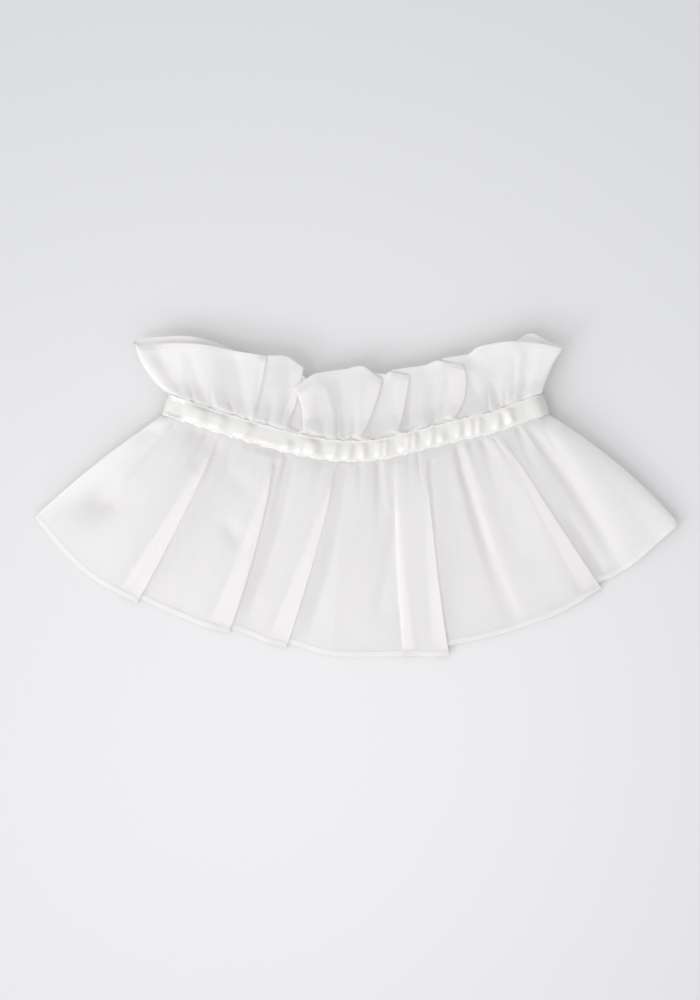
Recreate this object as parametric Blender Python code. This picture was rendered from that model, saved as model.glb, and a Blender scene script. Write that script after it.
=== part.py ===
"""A ruff collar lying flat: a gathered ribbon ring with a deep frill below it and a standing ruffle above.

+X runs along the collar, +Y points from the hem to the standing ruffle, +Z is up off the table.
The ring is closed. Its front half lies on its back half, and each cloth is one closed wall all round.
Tables are in millimetres.
"""

from collections import namedtuple
from functools import partial
from math import cos, pi, radians, sin

import bmesh
import bpy
import numpy as np
from mathutils import Matrix

MM = 0.001
CLOTH = 1.0  # wall of both frills
HEM_EXTRA = 0.25  # the turned hem is this much thicker
CASING = 1.4  # ribbon, with the elastic that it hides
SEAM_GAP = 0.3  # clear space between two pieces
SLACK = 0.2  # more clear space, for the facets of the end folds
RIBBON_WIDTH = 10.0
TUCKED = 2.6  # how far a frill runs in under the ribbon
OUT = 0.45  # where a frill leaves the ribbon's edge
TABLE = 0.0

# ---------------------------------------------------------------- the gathered ring
# Middle line of the ribbon: the front from left to right, then the back from right to left.
Ring = namedtuple("Ring", "x y z")
RING = [
    Ring(-86.3, 42.0, 8.2),
    Ring(-79.0, 39.6, 9.6),
    Ring(-62.0, 33.9, 10.0),
    Ring(-44.0, 28.5, 10.2),
    Ring(-26.0, 23.7, 10.4),
    Ring(-8.0, 20.9, 10.6),
    Ring(10.0, 21.4, 10.6),
    Ring(28.0, 25.6, 10.8),
    Ring(46.0, 30.0, 11.0),
    Ring(64.0, 34.3, 11.2),
    Ring(79.0, 39.9, 10.6),
    Ring(86.8, 42.2, 9.0),
    Ring(89.0, 42.4, 5.2),
    Ring(86.0, 41.6, 1.6),
    Ring(78.0, 39.0, 0.7),
    Ring(60.0, 32.6, 0.7),
    Ring(40.0, 27.4, 0.7),
    Ring(20.0, 22.8, 0.7),
    Ring(0.0, 20.2, 0.7),
    Ring(-20.0, 21.4, 0.7),
    Ring(-40.0, 26.4, 0.7),
    Ring(-60.0, 32.4, 0.7),
    Ring(-78.0, 38.4, 0.7),
    Ring(-85.6, 41.2, 1.4),
    Ring(-88.2, 42.4, 4.6),
]

# ---------------------------------------------------------------- folds
# A line runs from the ribbon at x = band to the free edge at x, y, and bows sideways by bow at half way.
# high, mid and low are its heights near the ribbon, half way and at the free edge.
Line = namedtuple("Line", "band x y bow high mid low")
# A tuck's panel ends in a rounded edge along such a line and turns back under itself by lap. The next
# panel starts drop lower and step shorter. over says that the panel met first lies on top, and
# shows that the lower panel shows flat beside the edge.
Tuck = namedtuple("Tuck", "over shows band x y bow high mid low drop lap step")

FRILL_FRONT = [
    Line(-80.5, -136.0, -21.6, 6.0, 9.6, 9.8, 5.6),
    Line(-73.5, -122.0, -35.4, 1.5, 9.8, 10.2, 7.6),
    Tuck(True, True, -60.9, -99.5, -48.2, 1.2, 10.2, 11.4, 9.0, 4.2, 10.0, 2.3),
    Line(-55.2, -79.5, -54.6, -2.0, 8.6, 9.4, 7.0),
    Tuck(True, True, -35.9, -57.7, -61.8, 2.2, 10.4, 11.6, 9.2, 4.2, 10.0, 2.0),
    Line(-26.5, -48.0, -63.0, 1.0, 9.2, 9.6, 7.2),
    Tuck(True, True, -7.7, -31.8, -68.6, 1.3, 10.4, 11.6, 9.2, 4.2, 9.0, 2.3),
    Line(-3.0, -12.6, -71.8, 1.5, 9.8, 10.4, 8.0),
    Line(8.0, 6.5, -72.6, 0.0, 8.8, 8.8, 6.6),
    Tuck(False, True, 16.8, 21.4, -72.3, -0.8, 10.8, 12.6, 10.4, 4.4, 5.5, 0.2),
    Tuck(True, True, 32.3, 42.3, -71.8, -1.4, 10.8, 12.6, 10.4, 4.8, 6.5, 4.2),
    Line(38.6, 54.0, -65.2, 0.6, 9.4, 10.0, 7.4),
    Line(43.6, 68.0, -61.6, -2.2, 10.2, 10.4, 7.6),
    Line(45.6, 72.6, -60.2, -2.2, 6.2, 6.6, 5.4),
    Line(47.8, 77.2, -58.6, -2.2, 10.6, 11.2, 8.0),
    Line(54.0, 93.0, -52.6, 0.0, 9.4, 9.4, 6.8),
    Tuck(True, True, 65.5, 111.4, -41.4, -0.6, 10.6, 12.2, 9.0, 4.2, 8.0, 2.6),
    Line(73.5, 117.0, -36.4, 1.6, 9.6, 10.4, 6.8),
    Line(76.8, 120.6, -34.0, 1.8, 8.4, 8.8, 5.6),
    Line(80.8, 125.4, -30.8, 2.0, 10.0, 11.6, 6.8),
    Line(84.3, 136.0, -21.6, 4.6, 10.4, 13.0, 5.6),
]
FRILL_RIGHT = [Line(88.0, 145.9, -11.4, 5.4, 6.0, 7.2, 3.4)]
# The back lies with its outer face on the table, so its heights are those of the lowest layer.
FRILL_BACK = [
    Line(83.0, 135.0, -20.0, 4.0, 0.4, 0.4, 0.4),
    Line(76.0, 121.0, -31.0, 2.0, 0.4, 0.4, 0.4),
    Tuck(True, True, 57.0, 92.0, -48.4, 1.0, 0.5, 0.5, 0.5, -3.3, 8.0, 1.2),
    Line(50.0, 82.0, -52.8, 0.0, 1.4, 1.0, 0.4),
    Line(43.0, 74.0, -56.0, 0.0, 0.4, 0.4, 0.4),
    Tuck(True, True, 31.0, 60.0, -60.2, -1.0, 0.5, 0.5, 0.5, -3.3, 8.0, 1.0),
    Line(22.0, 40.0, -65.0, 0.0, 1.6, 1.2, 0.4),
    Line(12.0, 20.0, -67.4, 0.0, 0.4, 0.4, 0.4),
    Tuck(False, True, -5.0, 2.0, -68.4, 0.6, 0.5, 0.5, 0.5, -3.3, 7.0, 0.8),
    Line(-16.0, -18.0, -67.0, 0.0, 0.4, 0.4, 0.4),
    Tuck(False, True, -31.0, -43.0, -62.5, 1.2, 0.5, 0.5, 0.5, -3.3, 8.0, 1.0),
    Line(-44.0, -64.0, -56.5, 0.0, 0.4, 0.4, 0.4),
    Line(-50.0, -74.0, -53.5, 0.0, 1.5, 1.1, 0.4),
    Tuck(True, True, -60.0, -90.0, -48.4, -1.0, 0.5, 0.5, 0.5, -3.3, 7.5, 1.0),
    Line(-72.0, -110.0, -38.5, 0.0, 0.4, 0.4, 0.4),
    Line(-82.0, -131.0, -22.4, 0.0, 0.4, 0.4, 0.4),
]
FRILL_LEFT = [Line(-87.6, -145.9, -9.1, -1.4, 5.4, 5.2, 2.6)]

RUFFLE_FRONT = [
    Line(-80.4, -87.0, 70.4, 0.0, 10.4, 13.0, 15.0),
    Line(-71.0, -79.0, 70.0, 1.0, 9.4, 10.6, 13.4),
    Line(-62.0, -67.0, 69.6, 0.6, 10.6, 13.0, 15.4),
    Line(-52.5, -56.4, 66.8, -0.6, 9.4, 10.8, 13.4),
    Tuck(True, True, -46.0, -40.4, 64.0, 0.6, 10.8, 14.4, 17.6, 4.2, 3.6, 0.0),
    Tuck(True, False, -35.9, -25.0, 57.7, -0.6, 10.8, 14.4, 17.4, 4.2, 4.0, -1.4),
    Tuck(False, False, -20.0, -28.0, 49.4, 1.6, 11.0, 17.0, 22.0, 7.6, 9.0, -7.0),
    Line(-11.0, -12.4, 57.2, 0.6, 10.8, 15.4, 20.4),
    Line(-5.6, -6.0, 57.7, -0.4, 9.4, 12.6, 18.4),
    Tuck(True, True, 1.8, 11.8, 52.7, 1.0, 11.0, 16.4, 20.4, 5.0, 3.2, -3.0),
    Tuck(True, True, 19.0, 24.1, 54.5, 0.6, 11.0, 15.4, 19.2, 4.6, 3.2, -4.4),
    Line(30.0, 30.8, 59.5, 0.0, 9.6, 12.4, 16.2),
    Tuck(True, True, 43.4, 48.6, 59.3, 3.4, 11.2, 15.6, 19.4, 4.6, 4.0, -3.6),
    Line(59.5, 54.0, 67.0, 0.6, 10.8, 13.2, 15.6),
    Line(63.6, 61.0, 69.3, 0.6, 9.6, 11.6, 14.8),
    Line(70.5, 71.0, 70.4, 0.0, 10.8, 14.0, 17.0),
    Line(73.8, 77.0, 69.9, 0.0, 9.6, 12.2, 15.4),
    Line(79.4, 86.0, 68.7, 0.4, 10.8, 13.6, 16.4),
]
RUFFLE_RIGHT = [Line(87.2, 93.4, 67.0, -1.2, 7.4, 10.0, 12.4)]
RUFFLE_BACK = [
    Line(82.0, 86.0, 67.4, 0.0, 2.0, 3.4, 5.0),
    Line(76.0, 78.0, 72.6, 0.0, 3.2, 4.2, 5.2),
    Line(66.0, 66.0, 66.6, 0.0, 1.4, 1.0, 0.9),
    Line(56.0, 56.0, 62.4, 0.0, 3.6, 4.6, 5.4),
    Line(46.0, 44.0, 57.0, 0.0, 1.4, 0.9, 0.9),
    Line(36.0, 34.0, 54.4, 0.0, 3.8, 4.8, 5.8),
    Line(26.0, 24.0, 52.4, 0.0, 1.4, 0.9, 0.9),
    Line(15.0, 12.0, 50.2, 0.0, 3.8, 4.8, 5.8),
    Line(5.0, 2.0, 50.0, 0.0, 1.4, 0.9, 0.9),
    Line(-6.0, -8.0, 51.0, 0.0, 3.8, 4.8, 5.8),
    Line(-16.0, -18.0, 51.6, 0.0, 1.4, 0.9, 0.9),
    Line(-27.0, -29.0, 54.4, 0.0, 3.8, 4.6, 5.4),
    Line(-37.0, -40.0, 60.0, 0.0, 1.4, 0.9, 0.9),
    Line(-47.0, -52.0, 65.4, 0.0, 3.8, 4.8, 5.8),
    Line(-57.0, -63.0, 71.0, 0.0, 1.4, 0.9, 0.9),
    Line(-67.0, -73.0, 73.2, 0.0, 3.8, 4.8, 5.8),
    Line(-76.0, -84.0, 73.0, 0.0, 1.6, 1.6, 2.4),
]
RUFFLE_LEFT = [Line(-87.0, -99.4, 68.6, -2.0, 6.2, 7.0, 8.4)]

# Small gathers along the ribbon: place, half width, depth and how far down the cloth each one reaches.
Gather = namedtuple("Gather", "x width depth reach")
FRILL_GATHERS = [
    Gather(-76.5, 2.0, 1.1, 0.16),
    Gather(-70.0, 1.8, 1.4, 0.22),
    Gather(-65.6, 1.6, 1.2, 0.16),
    Gather(-51.0, 1.8, 1.3, 0.2),
    Gather(-46.6, 1.7, 1.0, 0.15),
    Gather(-42.0, 1.8, 1.2, 0.2),
    Gather(-29.8, 1.8, 1.5, 0.3),
    Gather(-22.0, 1.9, 1.1, 0.15),
    Gather(-15.4, 1.9, 1.3, 0.2),
    Gather(2.4, 1.8, 1.0, 0.16),
    Gather(9.6, 1.8, 1.5, 0.26),
    Gather(22.6, 1.8, 1.0, 0.14),
    Gather(27.4, 1.7, 1.2, 0.16),
    Gather(50.0, 1.8, 1.2, 0.2),
    Gather(55.6, 1.9, 1.3, 0.22),
    Gather(60.6, 1.7, 1.0, 0.15),
    Gather(70.2, 1.7, 1.2, 0.2),
]
RUFFLE_GATHERS = [
    Gather(-76.0, 1.8, 0.9, 0.3),
    Gather(-66.4, 1.8, 1.0, 0.35),
    Gather(-57.4, 1.8, 0.9, 0.3),
    Gather(-49.6, 1.6, 0.9, 0.3),
    Gather(-41.4, 1.6, 0.9, 0.3),
    Gather(-16.0, 1.6, 0.9, 0.3),
    Gather(-8.8, 1.6, 1.0, 0.4),
    Gather(-2.0, 1.5, 0.9, 0.35),
    Gather(8.0, 1.6, 0.9, 0.3),
    Gather(13.6, 1.6, 0.9, 0.3),
    Gather(24.6, 1.6, 0.9, 0.3),
    Gather(35.0, 1.6, 1.0, 0.35),
    Gather(51.0, 1.6, 0.9, 0.3),
    Gather(61.4, 1.6, 1.0, 0.35),
    Gather(69.0, 1.5, 0.9, 0.35),
]

# Soft hollows and swellings of the front panels: centre, half length, half width, angle, depth.
Dent = namedtuple("Dent", "x y along across angle depth")
DENTS = [
    Dent(-103.0, 25.0, 9.0, 4.5, 40, 1.6),
    Dent(-113.0, 3.5, 12.0, 5.0, 40, -1.6),
    Dent(-124.0, -9.0, 10.0, 5.0, 38, 2.0),
    Dent(-75.0, 20.5, 11.0, 5.5, -42, 1.8),
    Dent(-58.0, -19.0, 8.0, 5.0, 90, 1.4),
    Dent(70.0, -12.0, 16.0, 4.0, -62, 1.2),
]

FRILL_ROWS = (0.045, 0.09, 0.16, 0.25, 0.37, 0.5, 0.63, 0.76, 0.88, 0.966, 1.0)
RUFFLE_ROWS = (0.14, 0.28, 0.46, 0.66, 0.88, 1.0)
SPANS = {"turn": 2, "flat": 1}  # facets in each part of a tuck
NEAR_DROP = 4.4  # the deepest tuck at the ribbon
PANEL_STEP, LEAST_STEPS = 9.0, 2  # free edge per facet on an open panel
RING_STEPS = 40  # points between two rows of the ring
TURN_PULL = 1.6  # how much longer than its neighbour a span may pull on their shared point
RIBBON_STEPS = 132
PUCKERS = 27  # soft puckers across the ribbon's front half


def smooth(t):
    t = np.clip(t, 0.0, 1.0)
    return t * t * (3 - 2 * t)


# ---------------------------------------------------------------- ring
def closed_curve(points, steps, kinds=None):
    """A closed smooth curve through points, straight where kinds says flat."""
    points = np.array(points, float)
    chord = np.roll(points, -1, 0) - points
    length = np.linalg.norm(chord, axis=-1, keepdims=True) + 1e-9
    before, before_length = np.roll(chord, 1, 0), np.roll(length, 1, 0)
    tangent = before / before_length * length + chord / length * before_length
    for k, kind in enumerate(kinds or []):
        if kind == "flat":
            tangent[k] = tangent[(k + 1) % len(points)] = chord[k]
    tangent /= np.linalg.norm(tangent, axis=-1, keepdims=True) + 1e-9
    curve = []
    for k in range(len(points)):
        nxt = (k + 1) % len(points)
        for t in np.arange(steps[k]) / steps[k]:
            h1, h2 = 2 * t**3 - 3 * t**2 + 1, -2 * t**3 + 3 * t**2
            h3, h4 = t**3 - 2 * t**2 + t, t**3 - t**2
            curve.append(
                h1 * points[k]
                + h2 * points[nxt]
                + np.minimum(length[k], TURN_PULL * before_length[k]) * h3 * tangent[k]
                + np.minimum(length[k], TURN_PULL * length[nxt]) * h4 * tangent[nxt]
            )
    return np.array(curve)


RING_CURVE = closed_curve(RING, [RING_STEPS] * len(RING))
RING_AHEAD = np.roll(RING_CURVE, -1, 0) - np.roll(RING_CURVE, 1, 0)
RING_AHEAD /= np.linalg.norm(RING_AHEAD, axis=1, keepdims=True)
RING_RIGHT = int(np.argmax(RING_CURVE[:, 0]))
RING_LEFT = int(np.argmin(RING_CURVE[:, 0]))


def ring_place(x, side):
    """Where along the ring its front or back passes x, or the middle of an end fold."""
    count = len(RING_CURVE)
    if side in ("left", "right"):
        return float(RING_RIGHT if side == "right" else RING_LEFT)
    order = np.arange(RING_LEFT - count, RING_RIGHT + 1)
    if side == "back":
        order = np.arange(RING_RIGHT, RING_LEFT + 1)
    xs = RING_CURVE[order % count, 0]
    return float(np.interp(x, xs, order)) if side == "front" else float(np.interp(-x, -xs, order))


def ring_frame(place):
    """Centre, outward normal and across-the-ribbon direction, towards the deep frill."""
    count = len(RING_CURVE)
    index = int(np.floor(place))
    part = place - index
    a, b = index % count, (index + 1) % count
    centre = RING_CURVE[a] * (1 - part) + RING_CURVE[b] * part
    ahead = RING_AHEAD[a] * (1 - part) + RING_AHEAD[b] * part
    ahead /= np.linalg.norm(ahead)
    # The strip stands square to the ring's own run as seen from above, so both edges keep their width.
    front = smooth((centre[2] - 2.0) / 6.0)
    slope = ring_slope(centre[0])
    across = np.array([slope, -1.0, 0.0]) / np.hypot(slope, 1.0)
    normal = np.cross(across, ahead)
    normal /= np.linalg.norm(normal)
    return centre, normal, across, front


def ring_slope(x):
    """How steeply the ring climbs in plan at x."""
    order = np.arange(RING_LEFT - len(RING_CURVE) + 50, RING_RIGHT - 50)
    xs, ys = RING_CURVE[order, 0], RING_CURVE[order, 1]
    x = np.clip(x, xs[0] + 4, xs[-1] - 4)
    return float((np.interp(x + 4, xs, ys) - np.interp(x - 4, xs, ys)) / 8)


# ---------------------------------------------------------------- cloth
def heights(row, v):
    """A curve through the heights near the ribbon, half way and at the free edge."""
    near, mid, far = (v - 0.5) * (v - 1) / 0.5, v * (1 - v) / 0.25, v * (v - 0.5) / 0.5
    return row.high * near + row.mid * mid + row.low * far


def stations(rows, side, edge):
    """Each row as one or more lines across the cloth: a place on the ring and a path to the free edge."""
    found = []
    travel = 1.0 if side in ("front", "right") else -1.0
    for row in rows:
        place = ring_place(row.band, side)
        lean = ring_frame(place)[2][0] * edge * (RIBBON_WIDTH / 2 + OUT)
        place = ring_place(row.band - lean, side)
        centre, _, across, _ = ring_frame(place)
        start = centre[:2] + across[:2] * edge * (RIBBON_WIDTH / 2 + OUT)
        end = np.array([row.x, row.y])
        along = (end - start) / np.linalg.norm(end - start)
        right = np.array([along[1], -along[0]]) * -edge
        if isinstance(row, Line):
            found.append((place, partial(line_point, row, start, end, right), "open"))
            continue
        # Parts of a tuck, from the panel on top to the one below: what follows, the offset while it is
        # open, the offset when folded as a share of the lap and turn radii, the layer, the ring offset.
        parts = [
            ("flat", -3.6, -1.0, -2.8, 0, -2.0),
            ("turn", -2.3, 0.0, -1.0, 0, -1.25),
            ("turn", -1.3, 0.0, 0.0, 1, -0.75),
            ("flat", -0.6, 0.0, -1.0, 2, -0.3),
            ("turn", -0.3, -1.0, 1.0, 3, 0.1),
            ("turn", 0.5, -1.0, 0.0, 4, 0.45),
            ("flat", 1.4, -1.0, 1.0, 5, 0.85),
            ("open", 2.7, 0.0, 2.6, 5, 1.4),
        ]
        parts = parts if row.shows else parts[:-1]
        order = list(range(len(parts)))
        if not row.over:
            order.reverse()
        sign = travel if row.over else -travel
        for at, i in enumerate(order):
            _, loose, share, more, layer, on_ring = parts[i]
            if row.over:
                follows = parts[i][0] if i + 1 < len(parts) else "open"
            else:
                follows = parts[i - 1][0] if i else "open"
            shape = (row, start, end, right, along, sign, loose, share, more, layer)
            found.append(
                (
                    place + travel * sign * on_ring * RING_STEPS / 18.0,
                    partial(tuck_point, *shape),
                    follows,
                )
            )
    return found


def layer_drop(row, layer, v):
    """How far below the top panel each layer of a tuck lies."""
    near = min(abs(row.drop), NEAR_DROP)
    depth, way = near + (abs(row.drop) - near) * v, 1 if row.drop > 0 else -1
    under = min(depth * 0.48, 2.1)
    fold = under + 0.2
    return way * np.array([0.0, under / 2, under, fold, (fold + depth) / 2, depth])[layer]


def tuck_point(row, start, end, right, along, sign, loose, share, more, layer, v):
    lap = row.lap * max(0.0, (v - 0.1) / 0.9) ** 0.7
    shut = smooth(lap / 4.2)
    radius = abs(layer_drop(row, 1, v))
    offset = loose * (1 - shut) + (share * lap + more * radius) * shut
    under = layer / 5 * row.step * smooth((v - 0.3) / 0.7)
    flat = start + (end - start) * v + right * row.bow * 4 * v * (1 - v)
    flat = flat + right * sign * offset - along * under
    drop = layer_drop(row, layer, v) * smooth((v + 0.06) / 0.16)
    return np.array([*flat, heights(row, v) - drop])


def line_point(row, start, end, right, v):
    flat = start + (end - start) * v + right * row.bow * 4 * v * (1 - v)
    return np.array([*flat, heights(row, v)])


def facets(kind, here, there):
    if kind in SPANS:
        return SPANS[kind]
    return max(LEAST_STEPS, int(round(np.linalg.norm(here - there) / PANEL_STEP)))


def cloth_grid(groups, rows, edge, gathers, dents, inside):
    """Rows of points round the ring, from the edge under the ribbon to the free edge."""
    lines, sides = [], []
    for side, table in groups:
        new = stations(table, side, edge)
        lines += new
        sides += [side] * len(new)
    kinds = [kind for _, _, kind in lines]
    ends = [path(1.0) for _, path, _ in lines]
    steps = [
        facets(kind, ends[k], ends[(k + 1) % len(lines)]) for k, (_, _, kind) in enumerate(lines)
    ]
    places = []
    for k, (place, _, _) in enumerate(lines):
        last = k + 1 == len(lines)
        following = lines[0][0] + len(RING_CURVE) if last else lines[k + 1][0]
        places += list(place + (following - place) * np.arange(steps[k]) / steps[k])
    grid = []
    for reach in (-TUCKED, OUT):
        row = []
        for place in places:
            centre, normal, across, _ = ring_frame(place)
            row.append(centre - normal * inside + across * edge * (RIBBON_WIDTH / 2 + reach))
        grid.append(np.array(row))
    left_exit = grid[1]
    for v in rows:
        row = closed_curve([path(v) for _, path, _ in lines], steps, kinds)
        leaving = smooth((v + 0.02) / 0.13)
        row[:, 2] = row[:, 2] * leaving + left_exit[:, 2] * (1 - leaving)
        for i, place in enumerate(places):
            front = ring_frame(place)[3]
            x = RING_CURVE[int(place) % len(RING_CURVE), 0]
            pull = sum(
                g.depth * np.exp(-(((x - g.x) / g.width) ** 2)) * max(0.0, 1 - v / g.reach)
                for g in gathers
            )
            row[i, 2] -= pull * front * smooth(v / 0.05)
            row[i, 2] += 0.7 * pull * (1 - front)
            if front > 0.5:
                row[i, 2] -= sum(hollow(d, row[i]) for d in dents) * front
        grid.append(row)
    return np.array(grid), np.array([0.0, 0.0, *rows])


def hollow(dent, point):
    angle = radians(dent.angle)
    dx, dy = point[0] - dent.x, point[1] - dent.y
    u = (dx * cos(angle) + dy * sin(angle)) / dent.along
    w = (-dx * sin(angle) + dy * cos(angle)) / dent.across
    return dent.depth * np.exp(-(u * u + w * w))


def normals(grid, edge):
    around = np.roll(grid, -1, 1) - np.roll(grid, 1, 1)
    down = np.gradient(grid, axis=0)
    facing = np.cross(down, around) * edge
    return facing / (np.linalg.norm(facing, axis=2, keepdims=True) + 1e-9)


def wall(name, grid, thickness, facing, colour, roughness):
    """A closed wall round the ring: the grid moved out by half the thickness each way, rims joined."""
    rows, columns, _ = grid.shape
    half = np.asarray(thickness, float).reshape(-1, 1, 1) / 2
    mesh = bmesh.new()
    skins = []
    for sign in (1, -1):
        skin = grid + facing * half * sign
        skins.append([[mesh.verts.new(p * MM) for p in row] for row in skin])
    outer, inner = skins
    for j in range(columns):
        k = (j + 1) % columns
        for i in range(rows - 1):
            mesh.faces.new((outer[i][j], outer[i + 1][j], outer[i + 1][k], outer[i][k]))
            mesh.faces.new((inner[i][k], inner[i + 1][k], inner[i + 1][j], inner[i][j]))
        mesh.faces.new((outer[0][j], outer[0][k], inner[0][k], inner[0][j]))
        mesh.faces.new((outer[-1][k], outer[-1][j], inner[-1][j], inner[-1][k]))
    bmesh.ops.triangulate(mesh, faces=mesh.faces, quad_method="SHORT_EDGE")
    bmesh.ops.recalc_face_normals(mesh, faces=mesh.faces)
    data = bpy.data.meshes.new(name)
    mesh.to_mesh(data)
    mesh.free()
    material = bpy.data.materials.new(name)
    material.use_nodes = True
    shader = material.node_tree.nodes["Principled BSDF"]
    shader.inputs["Base Color"].default_value = (*colour, 1.0)
    shader.inputs["Roughness"].default_value = roughness
    shader.inputs["Metallic"].default_value = 0.0
    data.materials.append(material)
    thing = bpy.data.objects.new(name, data)
    bpy.context.scene.collection.objects.link(thing)
    return thing


def rest_on_table(grid, half):
    """The lowest layers are pressed flat."""
    grid[:, :, 2] = np.maximum(grid[:, :, 2], TABLE + half)
    return grid


def ribbon():
    count = len(RING_CURVE)
    grid = []
    for share in np.linspace(-0.5, 0.5, 4):
        row = []
        for j in range(RIBBON_STEPS):
            centre, normal, across, front = ring_frame(j * count / RIBBON_STEPS)
            pucker = 0.35 * front * cos(2 * pi * PUCKERS * j / RIBBON_STEPS + 3 * share)
            row.append(centre + across * share * RIBBON_WIDTH + normal * max(0.0, pucker))
        grid.append(row)
    grid = rest_on_table(np.array(grid), CASING / 2)
    return wall("ribbon_casing", grid, CASING, normals(grid, 1), (0.86, 0.86, 0.84), 0.3)


def frill(name, groups, rows, edge, gathers, dents, colour):
    inside = CASING / 2 + SEAM_GAP + SLACK + CLOTH / 2
    grid, along = cloth_grid(groups, rows, edge, gathers, dents, inside)
    grid = rest_on_table(grid, CLOTH / 2)
    thickness = np.where(along > 0.95, CLOTH + HEM_EXTRA, CLOTH)
    facing = normals(grid, edge)
    hem = along > 0.95
    grid[hem, :, 2] = np.maximum(grid[hem, :, 2], TABLE + (CLOTH + HEM_EXTRA) / 2)
    return wall(name, grid, thickness, facing, colour, 0.85)


for thing in list(bpy.data.objects):
    bpy.data.objects.remove(thing)

pieces = [ribbon()]
pieces += [frill(
    "lower_frill",
    [
        ("front", FRILL_FRONT),
        ("right", FRILL_RIGHT),
        ("back", FRILL_BACK),
        ("left", FRILL_LEFT),
    ],
    FRILL_ROWS,
    1,
    FRILL_GATHERS,
    DENTS,
    (0.84, 0.84, 0.83),
), frill(
    "upper_frill",
    [
        ("front", RUFFLE_FRONT),
        ("right", RUFFLE_RIGHT),
        ("back", RUFFLE_BACK),
        ("left", RUFFLE_LEFT),
    ],
    RUFFLE_ROWS,
    -1,
    RUFFLE_GATHERS,
    [],
    (0.85, 0.85, 0.84),
)]

# The origin is on the table, under the middle of the whole collar.
corners = np.array([tuple(v.co) for piece in pieces for v in piece.data.vertices])
middle = (corners.min(0) + corners.max(0)) / 2
for piece in pieces:
    piece.data.transform(Matrix.Translation((-middle[0], -middle[1], 0.0)))
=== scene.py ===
from collections import namedtuple
from math import cos, radians, sin

import bmesh
import bpy
import numpy as np
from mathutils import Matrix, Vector


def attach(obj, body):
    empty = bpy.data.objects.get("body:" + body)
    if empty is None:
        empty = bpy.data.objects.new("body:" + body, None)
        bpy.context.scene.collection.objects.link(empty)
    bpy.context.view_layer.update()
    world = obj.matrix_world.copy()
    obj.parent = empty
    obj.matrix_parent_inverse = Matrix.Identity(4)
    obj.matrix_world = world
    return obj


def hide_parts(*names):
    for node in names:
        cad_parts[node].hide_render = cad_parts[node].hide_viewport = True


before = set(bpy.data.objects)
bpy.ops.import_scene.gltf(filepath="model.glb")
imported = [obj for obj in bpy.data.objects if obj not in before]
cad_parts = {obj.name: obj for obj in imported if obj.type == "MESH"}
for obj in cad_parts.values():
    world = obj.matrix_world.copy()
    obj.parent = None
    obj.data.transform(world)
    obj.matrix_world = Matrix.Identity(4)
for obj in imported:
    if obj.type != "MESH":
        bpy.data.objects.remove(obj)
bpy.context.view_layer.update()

mm = 0.001
origin = np.array([0.04, 0.32, 0.0])  # where the tables' own zero lies in the part
table = 0.0  # the height that the collar lies on
tiny = 1e-9  # added to a length before it divides
weld = 1e-7  # metres between two vertices that are one


def ramp(value, start, span):
    # 0 up to start, then rising smoothly to 1 over span
    t = np.clip((value - start) / span, 0.0, 1.0)
    return t * t * (3 - 2 * t)


def unit(vectors):
    return vectors / (np.linalg.norm(vectors, axis=-1, keepdims=True) + tiny)


def runOf(line):
    # how far along a line of points, or a grid's columns, each one lies
    steps = np.linalg.norm(np.diff(line, axis=0), axis=-1)
    return np.concatenate([np.zeros((1,) + steps.shape[1:]), np.cumsum(steps, 0)])


def newObject(name, data):
    thing = bpy.data.objects.new(name, data)
    bpy.context.scene.collection.objects.link(thing)
    return thing


# the ribbon's middle line: the front from left to right, then the back from right to left
Ring = namedtuple("Ring", "x y z")
ring = {
    "width": 10.0,
    "path": [
        Ring(-84.4, 41.4, 8.4),
        Ring(-77.0, 38.9, 9.7),
        Ring(-62.0, 33.9, 10.0),
        Ring(-44.0, 28.5, 10.2),
        Ring(-26.0, 23.7, 10.4),
        Ring(-8.0, 20.9, 10.6),
        Ring(10.0, 21.4, 10.6),
        Ring(28.0, 25.6, 10.8),
        Ring(46.0, 30.0, 11.0),
        Ring(64.0, 34.3, 11.2),
        Ring(76.0, 38.9, 10.8),
        Ring(83.6, 41.4, 9.3),
        Ring(85.6, 41.9, 5.4),
        Ring(83.0, 41.0, 1.7),
        Ring(75.0, 38.0, 0.7),
        Ring(60.0, 32.6, 0.7),
        Ring(40.0, 27.4, 0.7),
        Ring(20.0, 22.8, 0.7),
        Ring(0.0, 20.2, 0.7),
        Ring(-20.0, 21.4, 0.7),
        Ring(-40.0, 26.4, 0.7),
        Ring(-60.0, 32.4, 0.7),
        Ring(-75.6, 37.6, 0.7),
        Ring(-83.4, 40.6, 1.5),
        Ring(-85.8, 41.8, 4.8),
    ],
    "steps": 40,  # points between two rows of the path
    "span": 18.0,  # millimetres between two rows, along most of the path
    "back": 2.0,  # up to this height it counts as the back
    "rising": 6.0,  # and this much higher as the front
    "between": 4.0,  # the height where one side turns over to the other
    "slopeReach": 4.0,  # its slope is read between points this far to either side
    "endPoints": 50,  # points at each end fold that are left out of that slope
}


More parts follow.
